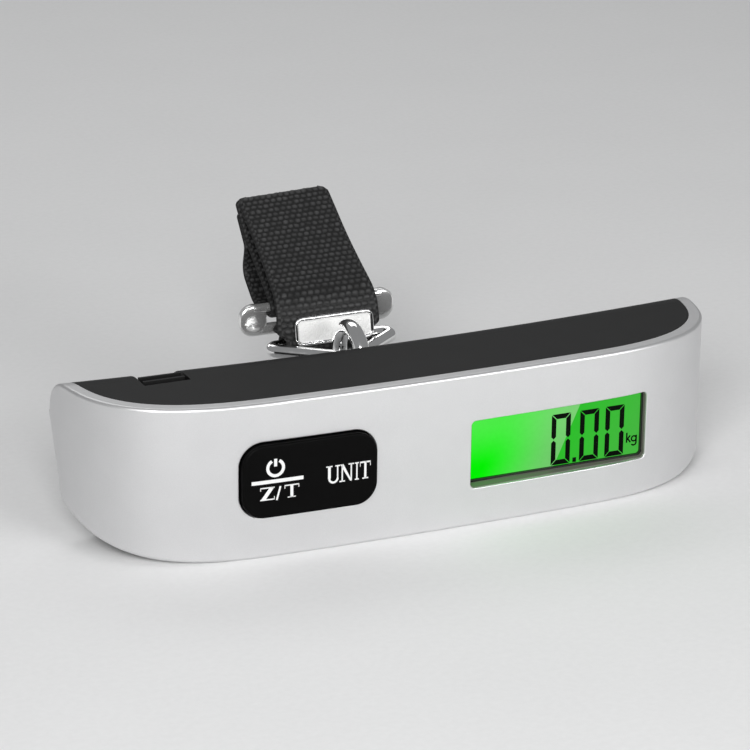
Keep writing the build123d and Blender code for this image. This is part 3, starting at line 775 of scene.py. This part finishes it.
def window_wall_shade():
    """A dull dark sheet round the wall of the display window, as painted shade on the wall."""
    half_x, half_z = (WINDOW_X[1] - WINDOW_X[0]) / 2, (WINDOW_Z[1] - WINDOW_Z[0]) / 2
    middle = Vector((sum(WINDOW_X) / 2, sum(WINDOW_Z) / 2))
    face = front_of("front_shell")
    hug, inner = ([Vector(p) for p in rounded_loop(half_x, half_z, WINDOW_RADIUS, inset)]
                  for inset in SHADE_INSETS)
    start, end = SHADE_DEPTHS
    rings = []
    for loop, step in ((hug, start), (hug, end), (inner, end), (inner, start)):
        ring = []
        for p, wall in zip(loop, hug):
            outside = middle + wall + wall.normalized() * 0.9     # on the shell, clear of the opening
            ring.append((middle.x + p.x, face(outside.x, outside.y) + step, middle.y + p.y))
        rings.append(ring)
    points, faces = lofted(rings)
    faces = faces[:-2]
    count = len(hug)
    for k in range(count):
        a, b = 3 * count + k, 3 * count + (k + 1) % count
        faces.append((a, b, (k + 1) % count, k))
    # Painted shade: the window's wall is darkened by a dull brownish sheet
    film = plain_grained("painted_window_shade", (0.12, 0.112, 0.10), (0.17, 0.160, 0.145), (0.35, 0.5), 3.0)
    piece = mesh_object("window_wall_shade", points, faces, film.material, "housing")
    outward(piece)
    creased(piece, 30)


def unit_letters(x, z, size):
    """A small k and g."""
    w = size * 0.15
    shapes = [rectangle(x, x + w, z, z + size)]
    shapes += stroke([(x + w * 0.6, z + size * 0.30), (x + size * 0.44, z + size * 0.68)], w)
    shapes += stroke([(x + size * 0.18, z + size * 0.38), (x + size * 0.48, z)], w)
    centre, radius = (x + size * 0.83, z + size * 0.33), size * 0.25
    shapes += stroke(arc(centre, radius, 0, 360), w)
    stem = centre[0] + radius
    shapes.append(rectangle(stem - w / 2, stem + w / 2, z - size * 0.08, z + size * 0.66))
    shapes += stroke(arc((centre[0], z - size * 0.08), radius, 0, -150, 12), w)
    return shapes


def display_prints():
    black = ink("segment_black", (0.001, 0.003, 0.001), (0.35, 0.45), 0.04)

    def flat(x, z):
        return GLASS_FRONT

    shapes = [shape for x0 in DIGIT_STARTS for shape in zero_segments(x0)]
    shapes.append(rectangle(*POINT_X, DIGIT_LOW, DIGIT_LOW + POINT_HEIGHT))
    printed("display_digits", shapes, flat, GLASS_PRINT, black, "housing")
    shapes = unit_letters(*UNIT_PLACE, UNIT_SIZE)
    printed("display_unit", shapes, flat, GLASS_PRINT, black, "housing")


def slab_letter(kind, x, z, w, h):
    """Strokes of a plain slab-serif capital in a box w wide and h high."""
    thick, thin, foot = 0.20 * w, 0.10 * w, 0.07 * h
    level = {"top": z + h - foot, "low": z}

    def serif(middle, where, wide=0.42):
        return rectangle(middle - wide * w / 2, middle + wide * w / 2, level[where], level[where] + foot)

    if kind == "I":
        mid = x + w / 2
        return [rectangle(mid - thick / 2, mid + thick / 2, z, z + h), serif(mid, "top", 0.6),
                serif(mid, "low", 0.6)]
    if kind == "T":
        mid = x + w / 2
        return [rectangle(mid - thick / 2, mid + thick / 2, z, z + h), serif(mid, "low", 0.55),
                rectangle(x, x + w, z + h - 1.3 * foot, z + h),
                rectangle(x, x + 0.5 * thin, z + 0.72 * h, z + h),
                rectangle(x + w - 0.5 * thin, x + w, z + 0.72 * h, z + h)]
    if kind == "N":
        a, b = x + 0.16 * w, x + 0.84 * w
        return [rectangle(a - thin / 2, a + thin / 2, z, z + h),
                rectangle(b - thin / 2, b + thin / 2, z, z + h),
                [(x, z + h), (x + 0.25 * w, z + h), (b + thin / 2, z), (b - thin * 0.8, z)],
                serif(a, "low"), serif(b, "top")]
    if kind == "U":
        a, b, r = x + 0.22 * w, x + 0.84 * w, 0.31 * w
        shapes = stroke(arc((x + 0.53 * w, z + r + thin / 2), r, 180, 360), 1.5 * thin)
        base = z + r + thin / 2
        return shapes + [rectangle(a - thick / 2, a + thick / 2, base, z + h),
                         rectangle(b - thin / 2, b + thin / 2, base, z + h),
                         serif(a, "top", 0.46), serif(b, "top", 0.36)]
    # The letter left is Z
    return [rectangle(x, x + w, z, z + 1.3 * foot), rectangle(x, x + w, z + h - 1.3 * foot, z + h),
            [(x + 0.68 * w, z + h), (x + w, z + h), (x + 0.32 * w, z), (x, z)],
            rectangle(x, x + 0.5 * thin, z + 0.74 * h, z + h),
            rectangle(x + w - 0.5 * thin, x + w, z, z + 0.26 * h)]


# Legends on the key: the power symbol over a bar, Z/T under it, and UNIT on the right
ICON, ICON_RADIUS, ICON_LINE = (-40.6, 22.0), 1.85, 0.72
ICON_STEM = (0.35, 2.15)       # its ends over the symbol's centre
BAR_X, BAR_Z = (-46.2, -34.0), (18.42, 19.28)
ZERO_FOOT, ZERO_HEIGHT = 14.5, 3.1
ZERO_LETTERS = (("Z", -44.2, 3.4), ("T", -38.5, 3.5))            # kind, left side, width
SLASH, SLASH_LINE = ((-40.34, 14.27), (-39.45, 17.5)), 0.42
UNIT_FOOT, UNIT_HEIGHT = 16.4, 4.2
UNIT_LETTERS = (("U", -28.5, 3.2), ("N", -25.2, 3.2), ("I", -21.95, 1.6), ("T", -20.4, 2.6))


def key_prints():
    white = ink("legend_white", (0.76, 0.76, 0.76), (0.45, 0.55), 0.2)
    surface = front_of("key_pad")
    symbol = stroke(arc(ICON, ICON_RADIUS, 118, 422, 40), ICON_LINE)
    symbol += stroke([(ICON[0], ICON[1] + rise) for rise in ICON_STEM], ICON_LINE)
    symbol.append(rectangle(*BAR_X, *BAR_Z))
    zero = [shape for kind, x, w in ZERO_LETTERS for shape in slab_letter(kind, x, ZERO_FOOT, w, ZERO_HEIGHT)]
    zero += stroke(SLASH, SLASH_LINE)
    unit = [shape for kind, x, w in UNIT_LETTERS for shape in slab_letter(kind, x, UNIT_FOOT, w, UNIT_HEIGHT)]
    for name, shapes in (("key_symbol", symbol), ("key_zero_legend", zero), ("key_unit_legend", unit)):
        printed(name, shapes, surface, KEY_PRINT, white, "key")


window_wall_shade()
display_prints()
key_prints()


# ---------------------------------------------------------------- stitching

THREAD = 0.19                  # radius of the thread
STITCH, STITCH_GAP = 2.4, 0.25            # length of a stitch, and the share of it that is gap
SEAM_HALF, SEAM_FROM_END = 10.0, (2.6, 13.0)      # the sewn box: half width, and its two rows


def stitches():
    """A crossed box of thread on a plane along the tail's sewn end.

    The plane is straight, so the rows far from the end leave the webbing where the tail bends.
    """
    end, along = strap_path[-1], strap_path[-1] - strap_path[-8]
    along.normalize()
    out = Vector((along.y, -along.x))
    skin = WEBBING / 2 + 0.12

    def stitch(a, b):
        """One stitch from a to b, each (x, distance from the tail's end), sunk at both ends."""
        line = []
        for share, sink in ((0, -0.35), (0.18, 0), (0.5, 0.08), (0.82, 0), (1, -0.35)):
            at = a.lerp(b, share)
            p = end - along * at.y + out * (skin + sink)
            line.append((STRAP_X + at.x, p.x, p.y))
        return tube(line, THREAD, sides=8)

    near, far = SEAM_FROM_END
    corners = [Vector(p) for p in rectangle(-SEAM_HALF, SEAM_HALF, near, far)]
    parts = []
    for start, finish in ((0, 1), (1, 2), (2, 3), (3, 0), (0, 2), (3, 1)):
        a, b = corners[start], corners[finish]
        count = round((b - a).length / STITCH)
        for k in range(count):
            parts.append(stitch(a.lerp(b, (k + STITCH_GAP / 2) / count),
                                a.lerp(b, (k + 1 - STITCH_GAP / 2) / count)))
    points, faces = joined(*parts)
    piece = mesh_object("strap_stitching", points, faces, thread(), "strap")
    outward(piece)


stitches()


# ---------------------------------------------------------------- stage and light

FLOOR_HALF = 3.0               # metres


def floor():
    n = plain_grained("floor", (0.80, 0.80, 0.80), (0.84, 0.84, 0.84), (0.75, 0.85), 0.6, bump=0.02)
    mesh = bmesh.new()
    bmesh.ops.create_grid(mesh, x_segments=8, y_segments=8, size=FLOOR_HALF)
    data = bpy.data.meshes.new("floor")
    mesh.to_mesh(data)
    mesh.free()
    data.materials.append(n.material)
    plane = bpy.data.objects.new("floor", data)
    bpy.context.collection.objects.link(plane)


def softbox(name, place, target, size, power):
    """A rectangular soft light, placed and aimed in millimetres."""
    light = bpy.data.lights.new(name, "AREA")
    light.shape, light.size, light.size_y = "RECTANGLE", size[0] * MM, size[1] * MM
    light.energy = power
    lamp = bpy.data.objects.new(name, light)
    lamp.location = Vector(place) * MM
    lamp.rotation_mode = "QUATERNION"
    lamp.rotation_quaternion = (Vector(target) - Vector(place)).to_track_quat("-Z", "Y")
    bpy.context.collection.objects.link(lamp)


def studio():
    world = bpy.data.worlds.new("studio")
    world.use_nodes = True
    world.node_tree.nodes["Background"].inputs["Color"].default_value = (0.80, 0.81, 0.82, 1)
    world.node_tree.nodes["Background"].inputs["Strength"].default_value = 0.30
    bpy.context.scene.world = world
    softbox("key_light", (-500, -850, 560), (0, 0, 20), (600, 450), 10.0)
    softbox("fill_light", (400, -850, 300), (0, 0, 20), (500, 350), 4.0)
    softbox("back_light", (100, 600, 650), (0, 20, 30), (700, 300), 1.2)


floor()
studio()
bpy.context.scene.view_settings.view_transform = "Standard"
